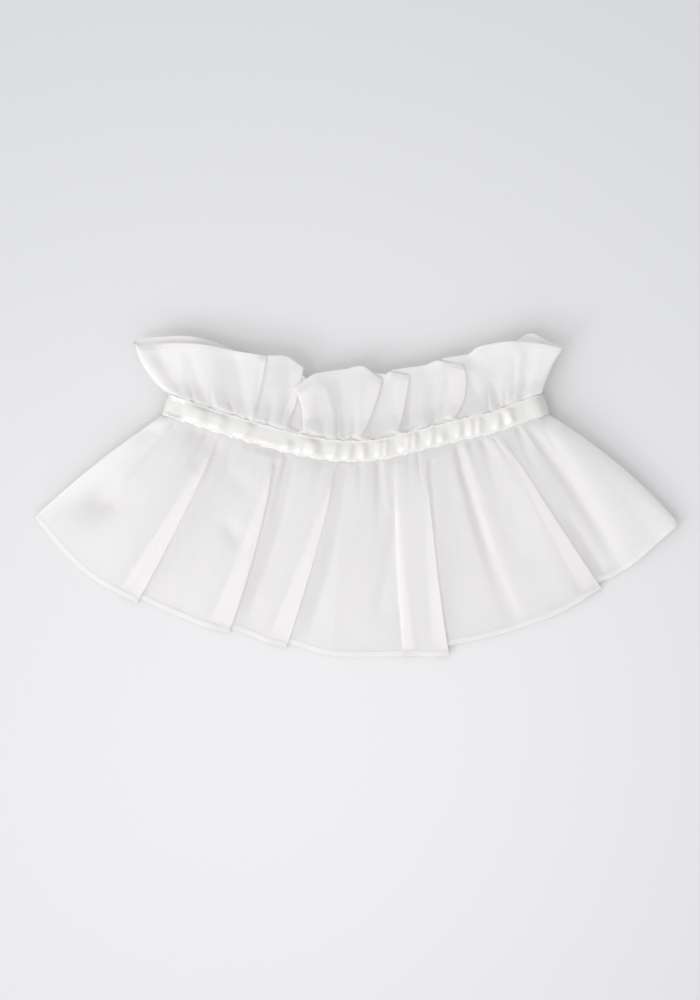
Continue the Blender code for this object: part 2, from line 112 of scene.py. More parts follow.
def closedCurve(points, steps, kinds=()):
    # points: rows x stations x 3; a smooth closed curve along each row, straight where kinds says flat
    pull = 1.6  # how much longer than its neighbour a span may pull on their shared point
    chord = np.roll(points, -1, 1) - points
    length = np.linalg.norm(chord, axis=-1, keepdims=True) + tiny
    before, beforeLength = np.roll(chord, 1, 1), np.roll(length, 1, 1)
    tangent = before / beforeLength * length + chord / length * beforeLength
    for k, kind in enumerate(kinds):
        if kind == "flat":
            tangent[:, k] = tangent[:, (k + 1) % points.shape[1]] = chord[:, k]
    tangent = unit(tangent)
    after, afterTangent, afterLength = [np.roll(each, -1, 1) for each in (points, tangent, length)]
    start = np.minimum(length, pull * beforeLength) * tangent
    finish = np.minimum(length, pull * afterLength) * afterTangent
    pieces = []
    for k, count in enumerate(steps):
        t = (np.arange(count) / count)[None, :, None]
        pieces.append(
            (2 * t**3 - 3 * t**2 + 1) * points[:, k : k + 1]
            + (-2 * t**3 + 3 * t**2) * after[:, k : k + 1]
            + (t**3 - 2 * t**2 + t) * start[:, k : k + 1]
            + (t**3 - t**2) * finish[:, k : k + 1]
        )
    return np.concatenate(pieces, axis=1)


path = np.array(ring["path"], float)[None]
ringCurve = closedCurve(path, [ring["steps"]] * path.shape[1])[0]
ringCount = len(ringCurve)
ringAhead = unit(np.roll(ringCurve, -1, 0) - np.roll(ringCurve, 1, 0))
ringRight, ringLeft = int(np.argmax(ringCurve[:, 0])), int(np.argmin(ringCurve[:, 0]))
frontOrder = np.arange(ringLeft - ringCount + ring["endPoints"], ringRight - ring["endPoints"])
frontX, frontY = ringCurve[frontOrder, 0], ringCurve[frontOrder, 1]
print("ring", ringCount, "points")


def ringPlace(x, side):
    # the place on the ring, counted in its points, where that side of it passes x
    if side in ("left", "right"):
        return float(ringRight if side == "right" else ringLeft)
    order = np.arange(ringLeft - ringCount, ringRight + 1)
    if side == "back":
        order = np.arange(ringRight, ringLeft + 1)
    xs = ringCurve[order % ringCount, 0]
    return float(np.interp(x, xs, order) if side == "front" else np.interp(-x, -xs, order))


def ringFrame(place):
    # centre of the ribbon, outward normal, direction across it to the deep frill, and how far in front
    place = np.atleast_1d(np.asarray(place, float))
    index = np.floor(place).astype(int)
    part = (place - index)[:, None]
    a, b = index % ringCount, (index + 1) % ringCount
    centre = ringCurve[a] * (1 - part) + ringCurve[b] * part
    ahead = ringAhead[a] * (1 - part) + ringAhead[b] * part
    reach = ring["slopeReach"]
    x = np.clip(centre[:, 0], frontX[0] + reach, frontX[-1] - reach)
    rise = np.interp(x + reach, frontX, frontY) - np.interp(x - reach, frontX, frontY)
    slope = rise / (2 * reach)
    across = unit(np.stack([slope, -np.ones_like(slope), np.zeros_like(slope)], 1))
    front = ramp(centre[:, 2], ring["back"], ring["rising"])
    return centre, unit(np.cross(across, ahead)), across, front


# line: from the ribbon at x = band to the free edge at x, y, bowed sideways by bow half way, with its
# heights near the ribbon, half way and at the free edge
Line = namedtuple("Line", "band x y bow high mid low")
# tuck: a panel ends in a soft edge along such a line and turns back under itself by lap; the next one
# starts drop lower and step shorter; over: the panel met first lies on top; slant: how much further
# its free edge reaches before it comes to the fold
Tuck = namedtuple("Tuck", "over shows band x y bow high mid low drop lap step slant", defaults=[0.0])
# gather: a short pinch at the ribbon, with its half width, depth and reach down the cloth
Gather = namedtuple("Gather", "x width depth reach")
# dent: a soft hollow, or a swelling where its depth is negative
Dent = namedtuple("Dent", "x y along across angle depth")
# crease: a furrow from one point to another, bowed half way, with its reach to the west and east
# (-x, +x) and its depth at each end, negative where the cloth stands up
Crease = namedtuple("Crease", "x1 y1 x2 y2 bow west east deep1 deep2")

# how both frills fall; v runs down the cloth, from 0 at the ribbon to 1 at the free edge, and a pair
# gives the v where a change begins and how far it runs
drape = {
    "overlap": 0.2,  # how far in under the ribbon's edge the lines of the tables begin
    "crowding": 1.25,  # above 1, rows lie closer near the ribbon
    "firstRow": 0.004,  # v of the first row
    "lapFrom": 0.04,  # v where a tuck begins to turn under
    "lapPower": 0.7,  # below 1, it reaches its full lap early
    "shut": 3.4,  # millimetres of lap at which a tuck lies folded
    "stepping": (0.3, 0.7),  # the panel below grows shorter or longer
    "parting": (-0.06, 0.16),  # the layers of a tuck come apart
    "puffed": 0.7,  # share of their room that layers take at the ribbon
    "puffReach": 0.2,  # v by which they have settled
    "pressed": 0.25,  # how much flatter they lie at the free edge
    "pressing": (0.6, 0.4),  # where they grow flatter
    "tucked": 0.48,  # the tucked layer's share of the way down
    "clear": 0.2,  # millimetres from there to the fold below
    "leaving": (-0.01, 0.1),  # the cloth rises from under the ribbon to its own heights
    "sinking": (0.05, 0.3),  # what puffs up beside the ribbon comes down again
    "pinching": (0.0, 0.03),  # gathers reach their depth
    "pinchFront": 0.9,  # share of a gather's depth that lowers the front
    "pinchBack": 0.7,  # and that raises the back
    "rising": (0.0, 0.05),  # puffs, creases and dents reach their height or depth
    "creaseStart": 0.06,  # share of its length in which a crease deepens
    "creaseEnd": 0.2,  # and in which it fades
    "creasePower": 1.5,  # its section: 1 is a sharp valley, 2 a round one
    "lowest": 0.15,  # millimetres above the table, the room that the hem needs
}
# rows of points in under the ribbon: how far out from a line just inside its edge, and how far up
underRows = [(-2.6, -0.12), (-1.3, 0.0), (0.0, 0.4)]
underInset = 0.5  # how far inside the edge that line lies

# the lines of a tuck, from the panel on top to the one below: what follows each, its offset while open,
# and when folded as shares of the lap and of the turn's radius, its layer, its share of the step where
# the panel below is the shorter and where it is the longer, and its offset along the ring
TuckPart = namedtuple("TuckPart", "kind loose lap radius layer ifShorter ifLonger onRing")
tuckParts = [
    TuckPart("flat", -3.6, -1.0, -2.8, 0, 0.0, 0.0, -2.0),
    TuckPart("turn", -2.3, 0.0, -1.0, 0, 0.0, 0.0, -1.25),
    TuckPart("turn", -1.3, 0.0, 0.0, 1, 0.0, 0.0, -0.75),
    TuckPart("flat", -0.6, 0.0, -1.0, 2, 0.0, 0.0, -0.3),
    TuckPart("turn", -0.3, -1.0, 1.0, 3, 0.2, 0.05, 0.1),
    TuckPart("turn", 0.5, -1.0, 0.0, 4, 0.45, 0.15, 0.45),
    TuckPart("flat", 1.4, -1.0, 1.0, 5, 0.7, 0.25, 0.85),
    TuckPart("open", 2.7, 0.0, 2.6, 5, 1.0, 1.0, 1.4),
]


def heights(row, v):
    # a smooth run through a line's three heights
    near, mid, far = (v - 0.5) * (v - 1) / 0.5, v * (1 - v) / 0.25, v * (v - 0.5) / 0.5
    return row.high * near + row.mid * mid + row.low * far


def layerDrop(row, layer, v, close):
    # how far a layer of a tuck lies below its panel on top
    puffed = (drape["puffed"] - close) * np.exp(-((v / drape["puffReach"]) ** 2))
    pressed = close * drape["pressed"] * ramp(v, *drape["pressing"])
    depth = abs(row.drop) * (close + puffed - pressed)
    under = depth * drape["tucked"]
    fold = under + drape["clear"]
    layers = [depth * 0, under / 2, under, fold, (fold + depth) / 2, depth]
    return layers[layer] * (1 if row.drop > 0 else -1)


def stationsOf(piece, side, v):
    # each row of the table as one or more lines across the cloth: ring place, points down v, kind
    travel = 1.0 if side in ("front", "right") else -1.0
    edge, out = piece["edge"], ring["width"] / 2 - drape["overlap"]
    found = []
    for row in piece[side]:
        place = ringPlace(row.band, side)
        lean = ringFrame(place)[2][0, 0] * edge * out
        place = ringPlace(row.band - lean, side)
        centre, _, across, _ = ringFrame(place)
        start = centre[0, :2] + across[0, :2] * edge * out
        end = np.array([row.x, row.y])
        along = unit(end - start)
        right = np.array([along[1], -along[0]]) * -edge
        middle = start + (end - start) * v[:, None] + right * (row.bow * 4 * v * (1 - v))[:, None]
        if isinstance(row, Line):
            found.append((place, np.column_stack([middle, heights(row, v)]), "open"))
            continue
        parts = tuckParts if row.shows else tuckParts[:-1]
        order = range(len(parts)) if row.over else range(len(parts) - 1, -1, -1)
        sign = travel if row.over else -travel
        turned = np.maximum(0.0, (v - drape["lapFrom"]) / (1 - drape["lapFrom"]))
        lap = row.lap * turned ** drape["lapPower"]
        shut = ramp(lap, 0.0, drape["shut"])
        radius = np.abs(layerDrop(row, 1, v, piece["close"]))
        for i in order:
            part, kind = parts[i], parts[i].kind
            if not row.over:
                kind = parts[i - 1].kind if i else "open"
            elif i + 1 == len(parts):
                kind = "open"
            offset = part.loose * (1 - shut) + (part.lap * lap + part.radius * radius) * shut
            shift = row.step * (part.ifShorter if row.step > 0 else part.ifLonger)
            if i == 0:
                shift -= row.slant
            shorter = shift * ramp(v, *drape["stepping"])
            flat = middle + right * (sign * offset)[:, None] - along * shorter[:, None]
            drop = layerDrop(row, part.layer, v, piece["close"]) * ramp(v, *drape["parting"])
            at = place + travel * sign * part.onRing * ring["steps"] / ring["span"]
            found.append((at, np.column_stack([flat, heights(row, v) - drop]), kind))
    return found


def creaseDepth(crease, x, y, edge):
    # how far a crease lowers the cloth at each point
    dx, dy = crease.x2 - crease.x1, crease.y2 - crease.y1
    length = np.hypot(dx, dy)
    east = 1.0 if dy < 0 else -1.0
    t = ((x - crease.x1) * dx + (y - crease.y1) * dy) / length**2
    off = ((y - crease.y1) * dx - (x - crease.x1) * dy) / length * east
    inside = np.clip(t, 0, 1)
    off = off - crease.bow * 4 * inside * (1 - inside)
    reach = np.where(off < 0, crease.west, crease.east)
    near, far = (t, 1 - t) if edge > 0 else (1 - t, t)
    deep = crease.deep1 + (crease.deep2 - crease.deep1) * inside
    deep = deep * ramp(near, 0.0, drape["creaseStart"]) * ramp(far, 0.0, drape["creaseEnd"])
    return deep * np.exp(-(np.abs(off / reach) ** drape["creasePower"]))


def dentDepth(dent, x, y):
    # how far a dent lowers the cloth at each point
    dx, dy, angle = x - dent.x, y - dent.y, radians(dent.angle)
    a = (dx * cos(angle) + dy * sin(angle)) / dent.along
    b = (-dx * sin(angle) + dy * cos(angle)) / dent.across
    return dent.depth * np.exp(-(a * a + b * b))


def clothGrid(piece):
    # rows run from the edge under the ribbon to the free edge, columns go round the ring
    v = np.linspace(0.0, 1.0, piece["rows"]) ** drape["crowding"]
    v = np.concatenate([[drape["firstRow"]], v[1:]])
    stations, sides = [], []
    for side in ("front", "right", "back", "left"):
        found = stationsOf(piece, side, v)
        stations += found
        sides += [side] * len(found)
    kinds = [kind for _, _, kind in stations]
    points = np.stack([p for _, p, _ in stations], axis=1)
    ends = points[-1]
    steps = []
    for k, kind in enumerate(kinds):
        reach = np.linalg.norm(ends[k] - ends[(k + 1) % len(ends)])
        hidden = sides[k] == "back"
        if kind == "open":
            steps.append(max(2, int(round(reach / piece["spans"]["back" if hidden else "open"]))))
        else:
            steps.append(2 if hidden else piece["spans"][kind])
    places = []
    for k, (place, _, _) in enumerate(stations):
        last = k + 1 == len(stations)
        following = stations[0][0] + ringCount if last else stations[k + 1][0]
        places += list(place + (following - place) * np.arange(steps[k]) / steps[k])
    grid = closedCurve(points, steps, kinds)
    centre, normal, across, front = ringFrame(np.array(places))
    ringX = centre[:, 0]
    out = ring["width"] / 2 - underInset
    under = [centre + normal * lift + across * piece["edge"] * (out + reach) for reach, lift in underRows]
    # the cloth leaves the ribbon, puffs up between the pinches and settles to its folds
    leaving = ramp(v, *drape["leaving"])[:, None]
    grid[:, :, 2] = grid[:, :, 2] * leaving + under[-1][None, :, 2] * (1 - leaving)
    puff = piece["puff"] * (ramp(v, *drape["rising"]) * (1 - ramp(v, *drape["sinking"])))[:, None]
    grid[:, :, 2] += puff * front[None]
    for g in piece["gathers"]:
        pinch = g.depth * np.exp(-(((ringX - g.x) / g.width) ** 2))[None]
        fade = (np.maximum(0.0, 1 - v / g.reach) * ramp(v, *drape["pinching"]))[:, None]
        grid[:, :, 2] -= drape["pinchFront"] * pinch * fade * front[None]
        grid[:, :, 2] += drape["pinchBack"] * pinch * fade * (1 - front[None])
    settled = ramp(v, *drape["rising"])[:, None] * front[None]
    for crease in piece["creases"]:
        grid[:, :, 2] -= creaseDepth(crease, grid[:, :, 0], grid[:, :, 1], piece["edge"]) * settled
    for dent in piece["dents"]:
        grid[:, :, 2] -= dentDepth(dent, grid[:, :, 0], grid[:, :, 1]) * settled
    grid = np.concatenate([np.stack(under), grid])
    grid[:, :, 2] = np.maximum(grid[:, :, 2], table + drape["lowest"])
    return grid


def newPiece(name, mesh):
    # a piece of the collar rides on its one body
    thing = newObject(name, mesh)
    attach(thing, "root")
    return thing


def sheetMesh(name, grid, material):
    # a grid is moved to the cloth's points, then its two ends are joined
    rows, columns, _ = grid.shape
    bm = bmesh.new()
    bmesh.ops.create_grid(bm, x_segments=columns, y_segments=rows - 1, size=1.0)
    bm.verts.ensure_lookup_table()
    layer = bm.loops.layers.uv.new("cloth")
    # its map is in metres, along the middle row and down the cloth
    middle = grid[rows // 2]
    around, down = runOf(np.concatenate([middle, middle[:1]])), runOf(grid).mean(1)
    where = {}
    for vert in bm.verts:
        i = int(round((vert.co.x + 1) / 2 * columns))
        j = int(round((vert.co.y + 1) / 2 * (rows - 1)))
        where[vert.index] = (i, j)
        vert.co = Vector((grid[j, i % columns] - origin) * mm)
    for face in bm.faces:
        for loop in face.loops:
            i, j = where[loop.vert.index]
            loop[layer].uv = (around[i] * mm, down[j] * mm)
    ends = [vert for vert in bm.verts if where[vert.index][0] in (0, columns)]
    bmesh.ops.remove_doubles(bm, verts=ends, dist=weld)
    for face in bm.faces:
        face.smooth = True
    mesh = bpy.data.meshes.new(name)
    bm.to_mesh(mesh)
    bm.free()
    mesh.materials.append(material)
    return newPiece(name, mesh)


def linear(code):
    # an sRGB hex colour as linear values
    parts = [int(code[i : i + 2], 16) / 255 for i in (1, 3, 5)]
    return [c / 12.92 if c <= 0.04045 else ((c + 0.055) / 1.055) ** 2.4 for c in parts] + [1.0]


def addNode(tree, kind, settings=None, links=None):
    node = tree.nodes.new("ShaderNode" + kind)
    for key, value in (settings or {}).items():
        if isinstance(key, int) or key in node.inputs:
            node.inputs[key].default_value = value
        else:
            setattr(node, key, value)
    for key, source in (links or {}).items():
        tree.links.new(source, node.inputs[key])
    return node


def newMaterial(name):
    material = bpy.data.materials.new(name)
    material.use_nodes = True
    material.node_tree.nodes.clear()
    return material, material.node_tree


def clothPlace(tree):
    # the cloth's own map, in millimetres
    place = addNode(tree, "UVMap", {"uv_map": "cloth"})
    sized = addNode(tree, "Mapping", {"Scale": (1000.0, 1000.0, 1.0)}, {"Vector": place.outputs[0]})
    return sized.outputs[0]


def voileMaterial(name, through, pale, palest):
    # cotton voile: a fine, even plain weave, matt, with light coming through it
    material, tree = newMaterial(name)
    place = clothPlace(tree)
    # bands 1 mm apart: the real threads, 0.25 mm apart, are too fine to show
    warp, weft = [
        addNode(
            tree,
            "TexWave",
            {"bands_direction": way, "Scale": 0.31, "Distortion": 1.2, "Detail": 1.0},
            {"Vector": place},
        )
        for way in "XY"
    ]
    both = addNode(tree, "Math", {"operation": "ADD"}, {0: warp.outputs["Fac"], 1: weft.outputs["Fac"]})
    # slubs: the yarn is a little thicker and paler here and there, every few millimetres
    slub = addNode(tree, "TexNoise", {"Scale": 0.35, "Detail": 4.0, "Roughness": 0.6}, {"Vector": place})
    tone = addNode(tree, "ValToRGB", {}, {"Fac": slub.outputs["Fac"]})
    tone.color_ramp.elements[0].color = linear(pale)
    tone.color_ramp.elements[1].color = linear(palest)
    bump = addNode(tree, "Bump", {"Strength": 0.05, "Distance": 0.0001}, {"Height": both.outputs[0]})
    soft = addNode(
        tree,
        "BsdfPrincipled",
        {"Roughness": 0.85, "Specular IOR Level": 0.25, "Sheen Weight": 0.15, "Sheen Roughness": 0.5},
        {"Base Color": tone.outputs["Color"], "Normal": bump.outputs["Normal"]},
    )
    behind = addNode(
        tree, "BsdfTranslucent", {"Color": linear("#f9f9f6")}, {"Normal": bump.outputs["Normal"]}
    )
    mix = addNode(tree, "MixShader", {0: through}, {1: soft.outputs[0], 2: behind.outputs[0]})
    addNode(tree, "OutputMaterial", {}, {"Surface": mix.outputs[0]})
    return material


def satinMaterial():
    # polyester satin: long floats of bright thread, which give sharp, silvery highlights on each fold
    material, tree = newMaterial("polyesterSatin")
    place = clothPlace(tree)
    # floats 0.8 mm apart: the real ones are too fine to show
    floats = addNode(
        tree,
        "TexWave",
        {"bands_direction": "Y", "Scale": 0.4, "Distortion": 0.6, "Detail": 1.0},
        {"Vector": place},
    )
    ripple = addNode(tree, "TexNoise", {"Scale": 0.5, "Detail": 2.0}, {"Vector": place})
    fine = addNode(tree, "Bump", {"Strength": 0.08, "Distance": 0.0001}, {"Height": floats.outputs["Fac"]})
    broad = addNode(
        tree,
        "Bump",
        {"Strength": 0.25, "Distance": 0.0003},
        {"Height": ripple.outputs["Fac"], "Normal": fine.outputs["Normal"]},
    )
    glossy = addNode(
        tree,
        "BsdfPrincipled",
        {"Base Color": linear("#d4d3d0"), "Roughness": 0.29, "IOR": 1.7, "Specular IOR Level": 0.9},
        {"Normal": broad.outputs["Normal"]},
    )
    addNode(tree, "OutputMaterial", {}, {"Surface": glossy.outputs[0]})
    return material


def threadMaterial(name, colour):
    # spun polyester sewing thread: a soft, slightly hairy shine
    material, tree = newMaterial(name)
    soft = addNode(
        tree,
        "BsdfPrincipled",
        {"Base Color": linear(colour), "Roughness": 0.5, "Specular IOR Level": 0.4, "Sheen Weight": 0.3},
    )
    addNode(tree, "OutputMaterial", {}, {"Surface": soft.outputs[0]})
    return material


def tableMaterial():
    # matt painted board without gloss; its colour is painted paler round the collar and darker further
    # out, a painted pool of light that stands in for the lamps' falloff
    material, tree = newMaterial("mattPaintWithPaintedLight")
    at = addNode(tree, "TexCoord")
    wide = addNode(tree, "Mapping", {"Location": (0.012, 0.085, 0.0)}, {"Vector": at.outputs["Object"]})
    away = addNode(tree, "VectorMath", {"operation": "LENGTH"}, {0: wide.outputs[0]})
    share = addNode(
        tree,
        "MapRange",
        {"From Max": 0.42, "interpolation_type": "SMOOTHSTEP"},
        {"Value": away.outputs["Value"]},
    )
    tone = addNode(tree, "ValToRGB", {}, {"Fac": share.outputs["Result"]})
    # painted light: the near colour is paler and the far one darker, so the table looks lit most round the
    # collar
    tone.color_ramp.elements[0].color = linear("#dbdbdc")
    tone.color_ramp.elements[1].color = linear("#c9cacb")
    matt = addNode(
        tree,
        "BsdfPrincipled",
        {"Roughness": 0.9, "Specular IOR Level": 0.1},
        {"Base Color": tone.outputs["Color"]},
    )
    addNode(tree, "OutputMaterial", {}, {"Surface": matt.outputs[0]})
    return material


camera = {
    "distance": 2.0,
    "pixel": 0.4545,  # millimetres on the table to a pixel
    "pixelsDown": 1000,
    "centreX": -2.7,
    "centreY": -1.4,
    "sensor": 36.0,
}
shot = bpy.data.cameras.new("camera")
shot.clip_end = 20.0
shot.sensor_fit = "VERTICAL"
shot.sensor_height = camera["sensor"]
shot.lens = camera["sensor"] * camera["distance"] / (camera["pixelsDown"] * camera["pixel"] * mm)
eye = newObject("camera", shot)
eye.location = (
    (camera["centreX"] - origin[0]) * mm,
    (camera["centreY"] - origin[1]) * mm,
    camera["distance"],
)
bpy.context.scene.camera = eye

# a wide softbox, and a small window in the same quarter that the satin catches
Lamp = namedtuple("Lamp", "name place size power")
lamps = [
    Lamp("softbox", (-0.94, -0.74, 0.8), 0.5, 3.8),
    Lamp("window", (-0.52, -0.44, 1.2), 0.26, 1.6),
]
for row in lamps:
    lamp = bpy.data.lights.new(row.name, "AREA")
    lamp.shape, lamp.size, lamp.energy = "SQUARE", row.size, row.power
    lampObject = newObject(row.name, lamp)
    lampObject.location = row.place
    lampObject.rotation_euler = (-Vector(row.place)).to_track_quat("-Z", "Y").to_euler()

# the room: white walls, bright towards the softbox and dimmer behind
room = {"bright": 1.41, "dim": 0.31, "dimFrom": -0.9, "colour": "#fefeff"}
sky = bpy.data.worlds.new("studio")
bpy.context.scene.world = sky
sky.use_nodes = True
towards = Vector(lamps[0].place).normalized()
tree = sky.node_tree
at = addNode(tree, "TexCoord")
facing = addNode(
    tree, "VectorMath", {"operation": "DOT_PRODUCT", 1: tuple(towards)}, {0: at.outputs["Generated"]}
)
share = addNode(
    tree,
    "MapRange",
    {"From Min": room["dimFrom"], "From Max": 1.0, "To Min": room["dim"], "To Max": room["bright"]},
    {"Value": facing.outputs["Value"]},
)
back = tree.nodes["Background"]
back.inputs["Color"].default_value = linear(room["colour"])
tree.links.new(share.outputs["Result"], back.inputs["Strength"])
bpy.context.scene.view_settings.view_transform = "Standard"

floorMesh = bpy.data.meshes.new("table")
bm = bmesh.new()
bmesh.ops.create_grid(bm, x_segments=1, y_segments=1, size=3.0)
bm.to_mesh(floorMesh)
bm.free()
floorMesh.materials.append(tableMaterial())
floorObject = newObject("table", floorMesh)
print("camera, light and table are in place")

voile = voileMaterial("cottonVoile", 0.55, "#faf8fa", "#fefcfe")
# three layers, so a little less light comes through; its colours are also painted a shade darker than the
# voile's, painted shade that keeps the turned hem from showing brighter than the cloth beside it
shadedHemVoile = voileMaterial("cottonVoileTurnedPaintedShade", 0.54, "#f1f0f1", "#f6f4f6")
satin = satinMaterial()
thread = threadMaterial("ivoryThread", "#f7f4e4")
whiteThread = threadMaterial("whiteThread", "#fbfafa")
print("cloth and thread are ready")

# the hem's section, all in millimetres: up from the free edge, and out from the middle of the cloth
HemPoint = namedtuple("HemPoint", "up out")
hem = {
    "section": [
        HemPoint(2.6, 0.02),
        HemPoint(2.3, 0.07),
        HemPoint(1.8, 0.08),
        HemPoint(1.2, 0.08),
        HemPoint(0.5, 0.08),
        HemPoint(0.1, 0.07),
        HemPoint(-0.04, 0.03),
        HemPoint(-0.04, -0.03),
        HemPoint(0.1, -0.07),
        HemPoint(1.2, -0.08),
        HemPoint(2.3, -0.07),
        HemPoint(2.6, -0.02),
        HemPoint(2.6, 0.02),
    ],
    "lowest": 0.03,  # above the table
    "stitchTop": 2.9,  # its stitches run from here up the cloth
    "stitchBottom": 1.9,  # down to here, over its turned edge
    "stitchSlant": 0.45,  # and this far along it
    "topOut": 0.2,  # how far their ends stand out from the middle of the cloth
    "bottomOut": 0.24,
    "pitch": 1.7,
    "thread": 0.14,  # radius
}


def fromEdge(grid, distance):
    # the cloth's points at a distance up from its free edge, and its normals there
    back = grid[::-1]
    run, column = runOf(back), np.arange(grid.shape[1])
    if distance <= 0:
        spot = back[0] - unit(back[0] - back[1]) * distance
        row = np.zeros(grid.shape[1], int)
    else:
        row = (run < distance).sum(0) - 1
        near, far = run[row, column], run[row + 1, column]
        part = ((distance - near) / (far - near))[:, None]
        spot = back[row, column] * (1 - part) + back[row + 1, column] * part
    down = back[row, column] - back[row + 1, column]
    along = np.roll(spot, -1, 0) - np.roll(spot, 1, 0)
    return spot, unit(np.cross(down, along))


def hemOf(name, grid):
    # a hem turned twice, as a closed strip round the cloth's free edge
    rows = []
    for corner in hem["section"]:
        spot, normal = fromEdge(grid, corner.up)
        point = spot + normal * corner.out
        point[:, 2] = np.maximum(point[:, 2], table + hem["lowest"])
        rows.append(point)
    strip = sheetMesh(name, np.array(rows), shadedHemVoile)
    bm = bmesh.new()
    bm.from_mesh(strip.data)
    bmesh.ops.remove_doubles(bm, verts=bm.verts, dist=weld)
    bmesh.ops.recalc_face_normals(bm, faces=bm.faces)
    bm.to_mesh(strip.data)
    bm.free()
    return strip


def stitches(name, starts, ends, radius, material):
    # one small rounded length of thread from each start to each end
    bm = bmesh.new()
    bmesh.ops.create_uvsphere(bm, u_segments=6, v_segments=5, radius=1.0)
    ball = np.array([vert.co[:] for vert in bm.verts])
    facets = [[vert.index for vert in face.verts] for face in bm.faces]
    bm.free()
    middle, half = (starts + ends) / 2 - origin, (ends - starts) / 2
    side = unit(np.cross(half, [0.0, 0.0, 1.0]))
    top = unit(np.cross(side, half))
    across = ball[None, :, :1] * side[:, None] + ball[None, :, 1:2] * top[:, None]
    points = middle[:, None] + radius * across + ball[None, :, 2:] * half[:, None]
    points = points.reshape(-1, 3) * mm
    faces = [[k + i * len(ball) for k in facet] for i in range(len(starts)) for facet in facets]
    mesh = bpy.data.meshes.new(name)
    mesh.from_pydata(points.tolist(), [], faces)
    mesh.shade_smooth()
    mesh.materials.append(material)
    return newPiece(name, mesh)


def hemStitches(name, grid):
    # short slanting stitches over the turned edge of the hem
    upper, normal = fromEdge(grid, hem["stitchTop"])
    lower, _ = fromEdge(grid, hem["stitchBottom"])
    run = runOf(upper)
    starts, ends = [], []
    for at in np.arange(0.0, run[-1], hem["pitch"]):
        slant = min(at + hem["stitchSlant"], run[-1])
        side = np.array([np.interp(at, run, normal[:, k]) for k in range(3)])
        side = side * (1 if side[2] > 0 else -1)
        starts.append([np.interp(at, run, upper[:, k]) + side[k] * hem["topOut"] for k in range(3)])
        ends.append([np.interp(slant, run, lower[:, k]) + side[k] * hem["bottomOut"] for k in range(3)])
    return stitches(name, np.array(starts), np.array(ends), hem["thread"], whiteThread)


